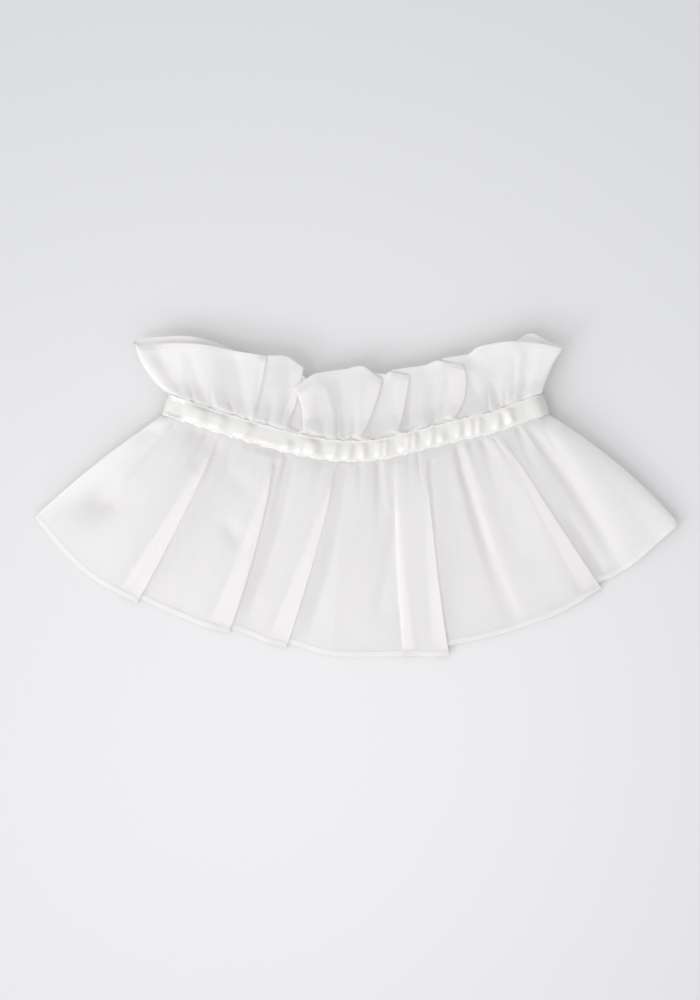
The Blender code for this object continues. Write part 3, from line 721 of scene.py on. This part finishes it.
lowerFrill = {
    "front": [
        Line(-83.6, -144.5, -10.9, 0.0, 8.8, 8.8, 3.4),
        Line(-79.0, -136.0, -21.6, 4.5, 8.6, 7.0, 2.0),
        Line(-73.5, -122.0, -35.4, 1.5, 9.8, 9.0, 1.3),
        Tuck(True, True, -60.9, -99.5, -48.2, 1.2, 10.2, 8.6, 1.7, 1.6, 10.0, 2.3),
        Line(-55.2, -79.5, -54.6, -2.0, 8.6, 7.4, 1.6),
        Tuck(True, True, -35.9, -57.7, -61.8, 2.2, 10.4, 9.2, 2.0, 2.2, 10.0, 2.0),
        Line(-26.5, -48.0, -63.0, 1.0, 9.6, 8.0, 1.7),
        Tuck(True, True, -7.7, -31.8, -68.6, 1.3, 10.4, 9.2, 2.0, 1.4, 9.0, 2.3),
        Line(-3.0, -12.6, -71.8, 1.5, 10.0, 8.5, 1.9),
        Line(8.0, 6.5, -72.6, 0.0, 9.9, 8.3, 1.7),
        Tuck(False, True, 16.8, 21.4, -72.3, -0.8, 10.4, 8.8, 2.2, 2.0, 5.5, 0.2),
        Tuck(True, True, 32.3, 42.3, -71.8, -1.4, 10.8, 9.4, 2.4, 1.8, 6.5, 4.2),
        Line(38.6, 54.0, -65.2, 0.6, 10.1, 8.5, 1.8),
        Line(43.6, 68.0, -61.6, -2.2, 10.2, 8.4, 1.7),
        Line(45.6, 72.6, -60.2, -2.2, 9.2, 7.4, 1.6),
        Line(47.8, 77.2, -58.6, -2.2, 10.4, 8.8, 1.8),
        Line(54.0, 93.0, -52.6, 0.0, 10.0, 8.6, 1.9),
        Tuck(True, True, 65.5, 111.4, -41.4, -0.6, 10.6, 9.8, 2.2, 1.7, 8.0, 2.6),
        Line(73.5, 117.0, -36.4, 1.6, 9.8, 8.8, 1.5),
        Line(75.6, 120.6, -34.0, 1.8, 9.2, 7.8, 1.6),
        Line(78.6, 125.4, -30.8, 2.0, 10.2, 9.6, 3.2),
        Line(81.2, 136.0, -21.6, 3.2, 10.4, 10.6, 5.0),
    ],
    "right": [Line(85.0, 145.9, -11.4, 2.9, 6.4, 6.2, 4.2)],
    "back": [
        Line(80.0, 135.0, -20.0, 2.0, 0.3, 0.3, 0.3),
        Line(76.0, 121.0, -31.0, 2.0, 0.3, 0.3, 0.3),
        Tuck(True, True, 57.0, 92.0, -48.4, 1.0, 0.3, 0.3, 0.3, -3.3, 8.0, 1.2),
        Line(50.0, 82.0, -52.8, 0.0, 1.4, 1.0, 0.3),
        Line(43.0, 74.0, -56.0, 0.0, 0.3, 0.3, 0.3),
        Tuck(True, True, 31.0, 60.0, -60.2, -1.0, 0.3, 0.3, 0.3, -3.3, 8.0, 1.0),
        Line(22.0, 40.0, -65.0, 0.0, 1.6, 1.2, 0.3),
        Line(12.0, 20.0, -67.4, 0.0, 0.3, 0.3, 0.3),
        Tuck(False, True, -5.0, 2.0, -68.4, 0.6, 0.3, 0.3, 0.3, -3.3, 7.0, 0.8),
        Line(-16.0, -18.0, -67.0, 0.0, 0.3, 0.3, 0.3),
        Tuck(False, True, -31.0, -43.0, -62.5, 1.2, 0.3, 0.3, 0.3, -3.3, 8.0, 1.0),
        Line(-44.0, -64.0, -56.5, 0.0, 0.3, 0.3, 0.3),
        Line(-50.0, -74.0, -53.5, 0.0, 1.5, 1.1, 0.3),
        Tuck(True, True, -60.0, -90.0, -48.4, -1.0, 0.3, 0.3, 0.3, -3.3, 7.5, 1.0),
        Line(-72.0, -110.0, -38.5, 0.0, 0.3, 0.3, 0.3),
        Line(-80.4, -131.0, -22.4, 0.0, 0.3, 0.3, 0.3),
        Line(-83.6, -144.2, -10.4, 0.0, 1.6, 0.9, 0.5),
    ],
    "left": [Line(-85.6, -145.9, -9.0, -1.4, 8.6, 10.4, 4.8)],
    "gathers": [
        Gather(-76.5, 1.5, 0.8, 0.22),
        Gather(-70.0, 1.4, 1.0, 0.30),
        Gather(-65.6, 1.0, 0.9, 0.22),
        Gather(-51.0, 1.3, 1.0, 0.30),
        Gather(-46.6, 1.1, 0.8, 0.20),
        Gather(-42.0, 1.4, 0.9, 0.30),
        Gather(-29.8, 1.3, 1.1, 0.46),
        Gather(-22.0, 1.4, 0.8, 0.20),
        Gather(-15.4, 1.4, 1.0, 0.30),
        Gather(2.4, 1.3, 0.8, 0.22),
        Gather(9.6, 1.3, 1.2, 0.41),
        Gather(22.6, 1.1, 0.8, 0.22),
        Gather(27.4, 1.1, 0.8, 0.22),
        Gather(50.0, 1.3, 0.8, 0.27),
        Gather(55.6, 1.4, 1.0, 0.32),
        Gather(60.6, 1.1, 0.8, 0.20),
        Gather(70.2, 1.1, 0.8, 0.27),
    ],
    "dents": [
        Dent(-115.4, -1.4, 10.0, 6.8, 30, 5.0),
        Dent(-94.5, 30.5, 6.4, 4.5, 35, 3.0),
        Dent(-131.8, -0.5, 10.9, 6.4, 45, 1.6),
        Dent(-67.3, 25.0, 7.3, 10.9, 38, 3.6),
        Dent(-71.8, 15.9, 4.1, 5.5, 38, 1.2),
        Dent(-55.9, -15.9, 4.1, 5.9, 38, 2.0),
        Dent(-52.7, 6.8, 4.1, 5.5, 38, 1.3),
        Dent(83.6, 35.0, 3.2, 2.3, -40, 1.0),
    ],
    "creases": [
        Crease(-80.7, 34.5, -117.1, -12.3, -0.9, 1.8, 2.7, 2.2, 1.7),
        Crease(-84.4, 33.2, -111.7, 4.1, 0.7, 3.2, 4.5, -0.3, -0.7),
        Crease(-60.9, 27.7, -98.2, -46.8, 1.7, 10.9, 3.2, -0.7, -0.4),
        Crease(-60.4, 29.5, -69.4, 5.0, 0.4, 0.9, 2.3, 0.8, 0.5),
        Crease(-56.0, 29.5, -60.1, 12.3, 0.8, 1.4, 1.4, 0.8, 0.3),
        Crease(-67.4, 30.5, -68.7, 21.4, 0.2, 1.4, 1.4, 0.6, 0.2),
        Crease(-63.0, 12.3, -71.6, -15.0, 0.0, 1.8, 1.8, -0.4, -0.1),
        Crease(-45.5, 25.9, -49.2, 14.1, -0.1, 1.4, 1.4, 0.9, 0.3),
        Crease(-43.5, 25.9, -44.4, 12.3, 0.0, 1.8, 1.8, -0.6, -0.1),
        Crease(-36.4, 23.6, -55.9, -58.2, 0.7, 10.0, 2.3, -0.5, -0.8),
        Crease(-33.3, 22.3, -44.2, -21.8, 1.7, 1.4, 1.8, -0.7, -0.3),
        Crease(-27.7, 20.5, -52.3, -59.5, 3.1, 4.1, 2.7, 1.4, 1.2),
        Crease(-7.3, 20.5, -31.4, -67.7, 3.1, 11.8, 4.1, -0.4, -0.9),
        Crease(-4.5, 17.7, -23.6, -65.9, 3.5, 5.0, 3.6, 1.2, 1.6),
        Crease(-6.8, -1.4, -10.5, -71.8, 0.1, 2.3, 2.3, -0.3, -0.3),
        Crease(-10.5, 19.1, -15.1, 8.6, -0.5, 3.6, 3.6, 0.9, 0.3),
        Crease(-8.9, 17.7, -8.0, 10.5, 0.0, 1.8, 1.4, -0.5, -0.1),
        Crease(0.9, 17.7, 0.9, 8.6, 0.0, 6.4, 6.4, 0.9, 0.1),
        Crease(10.5, 18.6, 14.1, -9.5, -1.1, 2.3, 1.8, 0.7, 0.4),
        Crease(13.4, 17.7, 15.6, -10.5, -0.7, 1.8, 2.7, -0.4, -0.1),
        Crease(17.5, 18.6, 18.0, -21.8, -0.2, 2.7, 1.4, 0.6, 0.5),
        Crease(16.4, -15.0, 20.9, -72.3, -0.3, 4.5, 1.6, 0.5, 0.3),
        Crease(18.1, -5.9, 8.5, -60.4, 0.8, 3.6, 4.5, 0.8, 1.3),
        Crease(19.3, 12.3, 24.3, -71.8, -0.6, 1.8, 3.6, -0.2, -0.2),
        Crease(27.4, 20.5, 33.7, 5.0, -0.2, 3.2, 2.3, 0.7, 0.3),
        Crease(32.3, 18.6, 42.7, -69.5, -1.4, 9.1, 3.6, -0.4, -0.8),
        Crease(33.7, 17.7, 36.5, -19.5, -0.2, 0.9, 1.8, 0.5, 0.5),
        Crease(44.7, 26.8, 54.3, -4.1, -1.5, 1.8, 1.8, 1.2, 1.2),
        Crease(52.7, -0.5, 64.1, -31.4, -0.6, 2.3, 1.8, 1.1, 0.7),
        Crease(62.7, -28.6, 75.0, -58.2, -0.2, 2.3, 1.8, 0.5, 0.4),
        Crease(47.4, 26.8, 60.2, -4.1, -0.6, 1.8, 4.5, -0.4, -0.3),
        Crease(60.7, -5.0, 79.8, -63.2, 0.0, 2.7, 11.8, -0.2, -0.1),
        Crease(55.9, 31.4, 64.1, 2.3, -0.2, 2.3, 2.3, 1.2, 0.5),
        Crease(59.8, 27.7, 69.8, 3.2, -0.2, 2.7, 4.5, -0.4, -0.2),
        Crease(61.8, 5.0, 80.0, -31.4, -3.9, 5.5, 6.4, 0.5, 0.5),
        Crease(74.5, 7.7, 90.9, -26.8, -0.4, 6.4, 7.3, -0.5, -0.3),
        Crease(66.4, 30.5, 110.9, -40.5, -2.3, 9.1, 4.5, -0.4, -1.0),
        Crease(94.1, -6.8, 115.0, -38.6, 0.1, 2.3, 3.6, 0.7, 1.2),
        Crease(72.6, 33.2, 80.8, 12.3, -0.6, 1.4, 1.4, 0.9, 0.4),
        Crease(75.6, 33.2, 87.0, 8.6, -0.8, 1.8, 2.3, -0.5, -0.2),
        Crease(83.7, 35.0, 118.3, -25.9, -0.9, 3.2, 3.2, 0.7, 0.5),
        Crease(85.3, 35.9, 123.0, -26.8, 1.2, 2.7, 7.3, -0.3, -0.2),
        Crease(85.4, 37.7, 90.4, 29.5, 0.1, 2.3, 2.3, 0.9, 0.3),
    ],
    "edge": 1,  # its free edge is on the deep side of the ribbon
    "rows": 60,
    "spans": {"turn": 4, "flat": 3, "open": 0.78, "back": 3.0},  # points; open, back: mm to a point
    "close": 0.34,  # how near the layers of a fold lie, of the room the solid gives them
    "puff": 1.2,  # how far the gathers stand up just past the ribbon
}

lowerGrid = clothGrid(lowerFrill)
lower = sheetMesh("lowerFrill", lowerGrid, voile)
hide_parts("lower_frill")
lowerHem = hemOf("lowerHem", lowerGrid)
lowerTicks = hemStitches("lowerHemStitches", lowerGrid)
print("lower frill", lowerGrid.shape, "free edge", round(runOf(lowerGrid[-1])[-1]), "mm")

upperFrill = {
    "front": [
        Line(-79.4, -87.0, 69.4, 0.0, 9.4, 9.4, 10.6),
        Line(-71.0, -79.0, 69.4, 1.0, 9.4, 10.6, 11.9),
        Line(-62.0, -67.0, 68.5, 0.6, 10.6, 12.0, 12.8),
        Line(-52.5, -56.4, 66.3, -0.6, 9.4, 10.7, 11.9),
        Tuck(True, True, -46.0, -40.4, 63.5, 0.6, 10.8, 12.6, 13.4, 2.0, 3.6, -0.4),
        Tuck(True, False, -31.2, -23.8, 58.5, 0.9, 10.6, 11.2, 11.4, 2.4, 6.0, -2.4, 2.6),
        Tuck(False, False, -25.2, -28.2, 49.3, 2.4, 10.8, 12.2, 12.4, 3.6, 8.0, -5.4, 4.4),
        Line(-13.6, -13.6, 56.6, 1.0, 10.6, 11.4, 11.6),
        Line(-5.6, -6.0, 57.6, -0.4, 9.4, 10.4, 11.0),
        Tuck(True, True, 1.8, 11.8, 52.9, 1.0, 10.8, 11.6, 11.4, 2.4, 8.0, -3.0, 2.6),
        Tuck(True, True, 19.0, 24.2, 54.9, 0.6, 10.8, 11.4, 11.4, 2.4, 8.4, -4.0),
        Line(30.0, 31.0, 59.6, 0.0, 9.8, 10.2, 10.4),
        Tuck(True, True, 43.6, 48.8, 59.3, 3.2, 11.0, 12.0, 12.0, 2.4, 10.4, -5.4),
        Line(59.5, 54.6, 67.4, 0.6, 10.8, 11.6, 11.8),
        Line(63.6, 61.0, 69.1, 0.6, 9.6, 11.1, 12.6),
        Line(70.5, 71.0, 70.2, 0.0, 10.8, 12.6, 13.6),
        Line(73.8, 77.0, 69.9, 0.0, 9.6, 11.5, 12.8),
        Line(78.4, 86.0, 68.7, 0.4, 10.8, 12.3, 13.3),
    ],
    "right": [Line(85.2, 93.6, 67.3, -1.2, 7.4, 10.2, 11.4)],
    "back": [
        Line(80.6, 87.0, 70.4, 0.0, 2.4, 5.4, 8.6),
        Line(76.0, 79.2, 74.0, 0.0, 3.2, 5.6, 8.4),
        Line(72.0, 74.6, 72.2, 0.0, 2.0, 3.0, 4.4),
        Line(66.0, 66.0, 65.6, 0.0, 1.4, 1.0, 0.9),
        Line(56.0, 56.0, 61.4, 0.0, 3.6, 4.6, 5.4),
        Line(46.0, 44.0, 56.0, 0.0, 1.4, 0.9, 0.9),
        Line(36.0, 34.0, 53.4, 0.0, 3.8, 4.8, 5.8),
        Line(26.0, 24.0, 51.4, 0.0, 1.4, 0.9, 0.9),
        Line(15.0, 12.0, 49.2, 0.0, 3.8, 4.8, 5.8),
        Line(5.0, 2.0, 49.0, 0.0, 1.4, 0.9, 0.9),
        Line(-6.0, -8.0, 50.0, 0.0, 3.8, 4.8, 5.8),
        Line(-16.0, -18.0, 51.6, 0.0, 1.4, 0.9, 0.9),
        Line(-27.0, -29.0, 54.4, 0.0, 3.8, 4.6, 5.4),
        Line(-37.0, -40.0, 60.0, 0.0, 1.4, 0.9, 0.9),
        Line(-47.0, -52.0, 65.0, 0.0, 3.8, 4.8, 6.4),
        Line(-57.0, -63.0, 69.8, 0.0, 1.4, 3.4, 6.4),
        Line(-67.0, -73.0, 72.3, 0.0, 3.8, 6.4, 9.6),
        Line(-75.6, -84.0, 72.7, 0.0, 2.0, 5.0, 9.0),
    ],
    "left": [Line(-85.6, -99.4, 69.0, -2.0, 9.0, 12.4, 13.2)],
    "gathers": [
        Gather(-76.0, 1.1, 1.4, 0.40),
        Gather(-66.4, 1.1, 1.5, 0.40),
        Gather(-57.4, 1.1, 1.4, 0.35),
        Gather(-49.6, 0.9, 1.4, 0.35),
        Gather(-41.4, 0.9, 1.4, 0.35),
        Gather(-16.0, 1.0, 1.4, 0.35),
        Gather(-8.8, 1.0, 1.6, 0.50),
        Gather(-2.0, 0.9, 1.4, 0.40),
        Gather(8.0, 1.0, 1.4, 0.35),
        Gather(13.6, 1.0, 1.4, 0.35),
        Gather(24.6, 1.0, 1.4, 0.35),
        Gather(35.0, 1.0, 1.6, 0.40),
        Gather(51.0, 1.0, 1.4, 0.35),
        Gather(61.4, 1.0, 1.6, 0.40),
        Gather(69.0, 0.9, 1.4, 0.40),
    ],
    "dents": [
        Dent(-87.7, 61.8, 4.1, 3.2, -50, 1.8),
        Dent(-60.9, 42.3, 5.5, 2.7, -20, 0.8),
        Dent(53.6, 61.4, 3.6, 5.5, 60, 1.4),
    ],
    "creases": [
        Crease(-92.5, 65.9, -77.1, 44.1, -0.1, 1.8, 1.8, 0.3, 0.9),
        Crease(-80.4, 66.8, -77.7, 42.3, 0.7, 2.3, 2.3, -0.4, -0.7),
        Crease(-76.7, 68.6, -65.8, 38.6, -0.4, 3.2, 2.7, 0.7, 1.0),
        Crease(-70.7, 59.5, -58.9, 35.9, -1.6, 1.8, 3.6, -0.4, -0.8),
        Crease(-55.2, 66.8, -49.3, 33.2, 0.6, 2.7, 2.7, 0.9, 1.1),
        Crease(-48.6, 53.2, -46.8, 33.2, 0.5, 2.3, 1.8, -0.4, -0.6),
        Crease(-38.7, 65.0, -46.4, 31.4, 0.4, 1.4, 2.3, 0.7, 0.9),
        Crease(-39.5, 50.4, -37.7, 30.5, 0.2, 2.3, 2.3, 0.4, 0.8),
        Crease(-35.0, 53.2, -36.8, 30.5, 0.3, 2.3, 2.3, -0.4, -0.6),
        Crease(-27.4, 50.4, -35.1, 28.6, -0.7, 1.4, 1.8, 0.4, 0.8),
        Crease(-25.3, 47.7, -29.8, 26.8, -0.5, 1.8, 2.3, 0.5, 1.0),
        Crease(-19.1, 50.4, -13.6, 25.0, -0.5, 4.1, 3.6, 0.7, 0.9),
        Crease(-15.9, 53.2, -8.6, 24.1, 2.0, 2.3, 1.8, -0.5, -0.8),
        Crease(-8.8, 55.9, -6.1, 23.2, 1.7, 2.7, 2.3, 0.6, 0.8),
        Crease(-0.5, 53.2, -3.6, 23.2, -1.7, 2.3, 2.3, 0.5, 0.3),
        Crease(-1.0, 44.1, -1.0, 23.2, 0.0, 1.4, 1.4, 0.3, 0.9),
        Crease(3.5, 53.2, 2.1, 23.2, -0.3, 2.7, 3.2, -0.5, -0.5),
        Crease(13.5, 55.0, 4.5, 23.2, -0.1, 1.4, 2.7, 0.5, 0.7),
        Crease(8.1, 36.8, 10.8, 23.2, -0.4, 1.4, 1.4, 0.4, 0.8),
        Crease(18.6, 55.0, 15.0, 24.1, -0.3, 2.3, 2.3, -0.3, -0.5),
        Crease(15.4, 44.1, 16.3, 24.1, -0.5, 1.4, 1.4, 0.2, 0.7),
        Crease(25.8, 55.0, 20.8, 25.0, 0.1, 1.4, 2.3, 0.5, 0.7),
        Crease(22.9, 45.9, 29.3, 25.0, -1.4, 1.8, 2.3, 0.4, 0.8),
        Crease(31.4, 57.7, 30.5, 27.7, -0.5, 2.3, 2.3, -0.3, -0.6),
        Crease(36.2, 55.0, 35.3, 29.5, -0.6, 2.7, 2.3, 0.6, 0.5),
        Crease(42.3, 56.8, 38.2, 29.5, -0.4, 2.3, 1.8, 0.7, 1.2),
        Crease(44.7, 53.2, 42.0, 31.4, 0.0, 1.8, 1.8, -0.4, -0.7),
        Crease(49.9, 55.0, 43.5, 29.5, 1.3, 1.4, 2.3, 0.4, 0.8),
        Crease(51.1, 59.5, 62.0, 33.2, -2.4, 1.8, 1.8, 0.8, 1.0),
        Crease(60.1, 55.0, 66.0, 35.9, 1.2, 3.2, 1.4, 0.5, 1.2),
        Crease(66.5, 56.8, 67.0, 36.8, -0.2, 1.8, 2.3, -0.3, -0.5),
        Crease(70.4, 68.6, 70.8, 37.7, 0.7, 3.6, 1.8, 0.7, 1.1),
        Crease(75.6, 68.6, 71.5, 39.5, 0.1, 1.8, 2.3, -0.7, -0.9),
        Crease(78.4, 57.7, 74.3, 39.5, -0.2, 1.8, 1.8, 0.5, 1.0),
    ],
    "edge": -1,
    "rows": 40,
    "spans": {"turn": 4, "flat": 5, "open": 0.8, "back": 2.4},
    "close": 0.45,
    "puff": 1.8,
}

upperGrid = clothGrid(upperFrill)
upper = sheetMesh("upperFrill", upperGrid, voile)
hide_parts("upper_frill")
upperHem = hemOf("upperHem", upperGrid)
upperTicks = hemStitches("upperHemStitches", upperGrid)
print("upper frill", upperGrid.shape, "free edge", round(runOf(upperGrid[-1])[-1]), "mm")

# pucker: a wrinkle across the ribbon at x, centred share of the way from its middle to an edge (+ is
# the deep frill's), leaning to the east by lean at the upper edge; its half width, reach and height
Pucker = namedtuple("Pucker", "x share lean width reach height")
# ripple: a small wave of the ribbon's loose edge, with its size and how fast it runs along and across
Ripple = namedtuple("Ripple", "size along across")
ribbon = {
    "columns": 1400,  # points round the ring
    "rows": 22,  # and across the ribbon
    "thick": 0.25,
    "lift": 0.5,  # how far its face stands out from the ring's path
    "puff": 0.45,  # how much further its middle does
    "sewn": 0.84,  # share of the half width where the stitches hold it down
    "lowest": 0.16,  # above the table
    "deepest": -0.6,  # no pucker sinks further than this in front
    "backPuff": 0.2,  # share of its puckers that the back keeps
    "backIn": 0.3,  # how much closer to the path the back lies
    "puckerReach": 1.1,  # share of its reach at which a pucker is down to a third
    "puckerHeld": 1.6,  # above 1, puckers stay high nearer to the stitches
    "up": (Ripple(0.22, 3.1, 1.0), Ripple(1.0, 1.37, 2.0)),  # its rise, one times the other
    "out": (Ripple(0.12, 2.3, 1.7), Ripple(0.3, 0.83, 3.0)),  # its reach out, one and the other
    "zigzag": {
        "first": 0.5,  # along the ring
        "pitch": 1.35,  # how far apart they start
        "length": 1.0,
        "tilts": (-0.06, 0.08),  # how far each in turn crosses the sewn line
        "up": 0.12,  # above the ribbon's face
        "thread": 0.16,  # radius
    },
    "puckers": [
        Pucker(-81.0, 0.00, 0.6, 3.0, 1.2, -1.80),
        Pucker(-78.6, -0.50, 0.0, 1.8, 0.5, 0.40),
        Pucker(-70.8, 0.10, 0.6, 4.6, 0.9, 1.20),
        Pucker(-67.6, -0.60, 0.6, 1.7, 0.7, -0.18),
        Pucker(-61.6, 0.15, 1.0, 2.9, 0.8, 0.90),
        Pucker(-57.4, 0.10, 1.2, 2.4, 0.9, -0.18),
        Pucker(-49.8, 0.20, 3.2, 2.2, 0.9, 1.00),
        Pucker(-42.0, -0.40, 0.5, 6.6, 0.7, -0.24),
        Pucker(-38.0, 0.60, 0.0, 4.4, 0.4, 0.24),
        Pucker(-30.4, 0.50, 0.8, 1.8, 0.5, 0.64),
        Pucker(-28.6, -0.50, 0.8, 2.4, 0.6, -0.24),
        Pucker(-24.8, 0.30, 1.0, 1.5, 0.6, 0.32),
        Pucker(-19.4, 0.20, -2.0, 3.0, 0.8, 1.20),
        Pucker(-15.2, -0.20, 0.5, 1.7, 0.7, -0.24),
        Pucker(-9.6, 0.35, 3.2, 1.8, 0.8, 0.80),
        Pucker(-7.8, -0.20, 1.2, 1.5, 0.5, -0.18),
        Pucker(-3.6, 0.45, 3.2, 1.5, 0.8, 0.64),
        Pucker(-0.4, -0.10, 1.2, 1.5, 0.7, -0.18),
        Pucker(3.3, 0.25, 0.2, 1.5, 0.8, 0.64),
        Pucker(6.8, -0.20, 0.8, 2.0, 0.7, -0.18),
        Pucker(10.5, 0.10, 2.2, 1.4, 1.0, 0.56),
        Pucker(13.3, 0.10, 2.2, 1.4, 1.0, 0.56),
        Pucker(18.0, -0.10, 0.8, 1.8, 0.8, -0.30),
        Pucker(20.6, 0.50, 1.0, 1.5, 0.5, 0.32),
        Pucker(23.4, 0.10, 2.8, 1.5, 1.0, 0.64),
        Pucker(26.6, 0.00, 2.8, 1.5, 1.0, 0.64),
        Pucker(29.4, -0.50, 1.2, 1.5, 0.7, -0.24),
        Pucker(34.2, -0.10, 3.2, 1.5, 0.9, 0.56),
        Pucker(38.4, 0.50, 1.8, 1.7, 0.6, 0.64),
        Pucker(42.0, -0.30, 1.0, 1.8, 0.8, -0.18),
        Pucker(46.8, -0.10, 2.8, 1.5, 0.9, 0.40),
        Pucker(49.2, -0.10, 1.8, 1.5, 0.9, -0.24),
        Pucker(52.0, 0.00, 2.0, 1.5, 1.0, 0.64),
        Pucker(55.6, 0.00, 2.5, 1.5, 1.0, 0.64),
        Pucker(59.4, 0.10, 1.2, 1.8, 0.8, -0.18),
        Pucker(63.6, 0.35, 3.0, 1.7, 0.8, 0.64),
        Pucker(66.6, -0.20, 0.8, 1.5, 0.8, -0.18),
        Pucker(69.6, 0.00, 0.5, 1.9, 0.9, 0.96),
        Pucker(75.5, -0.60, 0.8, 4.4, 0.6, -0.18),
        Pucker(80.5, 0.30, 0.8, 3.3, 0.7, 0.32),
    ],
}


def ripples(pair, x, share):
    return [ripple.size * np.sin(x * ripple.along + ripple.across * share) for ripple in pair]


def ribbonPoint(places, share):
    # a point of the ribbon's face, share of the way from its middle to the deep frill's edge
    centre, normal, across, _ = ringFrame(places)
    inFront = centre[:, 2] > ring["between"]
    x = centre[:, 0] * np.where(inFront, 1.0, -1.0)  # the back is puckered as the front, mirrored
    held = np.clip(1 - (np.abs(share) / ribbon["sewn"]) ** 2, 0.0, 1.0)
    rise = ribbon["puff"] * held
    kept = np.clip(held * ribbon["puckerHeld"], 0, 1)
    for p in ribbon["puckers"]:
        off = (x - p.x + p.lean * (share - p.share) / 2) / p.width
        far = (share - p.share) / (p.reach * ribbon["puckerReach"])
        rise = rise + p.height * np.exp(-(off**2) - far**4) * kept
    loose = np.clip((np.abs(share) - ribbon["sewn"]) / (1 - ribbon["sewn"]), 0.0, 1.0)
    first, second = ripples(ribbon["up"], x, share)
    rise = rise + loose * first * second
    first, second = ripples(ribbon["out"], x, share)
    reach = share * ring["width"] / 2 + loose * np.sign(share) * (first + second)
    inBack = rise * ribbon["backPuff"] - ribbon["backIn"]
    rise = np.where(inFront, np.maximum(rise, ribbon["deepest"]), inBack)
    point = centre + across * reach[:, None] + normal * (ribbon["lift"] + rise)[:, None]
    point[:, 2] = np.maximum(point[:, 2], table + ribbon["lowest"])
    return point


places = np.arange(ribbon["columns"]) * ringCount / ribbon["columns"]
shares = np.linspace(-1, 1, ribbon["rows"])
ribbonGrid = np.array([ribbonPoint(places, np.full(len(places), share)) for share in shares])
ribbonPiece = sheetMesh("ribbon", ribbonGrid, satin)
wall = ribbonPiece.modifiers.new("wall", "SOLIDIFY")
wall.thickness = ribbon["thick"] * mm
wall.offset = 0.0
wall.use_even_offset = False
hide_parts("ribbon_casing")


def onRibbon(place, share):
    # where a stitch begins or ends on the ribbon's face
    point = ribbonPoint(np.array([place]), np.array([share]))[0]
    return point + [0.0, 0.0, ribbon["zigzag"]["up"]]


# a row of small zigzag stitches along each edge of the ribbon
zigzag, sewn = ribbon["zigzag"], ribbon["sewn"]
ringRun = runOf(ringCurve)
starts, ends = [], []
for edge in (-1, 1):
    for k, at in enumerate(np.arange(zigzag["first"], ringRun[-1], zigzag["pitch"])):
        tilt = zigzag["tilts"][k % 2]
        here, there = np.interp([at, at + zigzag["length"]], ringRun, np.arange(ringCount))
        starts.append(onRibbon(here, edge * (sewn - tilt)))
        ends.append(onRibbon(there, edge * (sewn + tilt)))
ribbonStitches = stitches("ribbonStitches", np.array(starts), np.array(ends), zigzag["thread"], thread)
print("ribbon", ribbonGrid.shape, len(starts), "stitches")
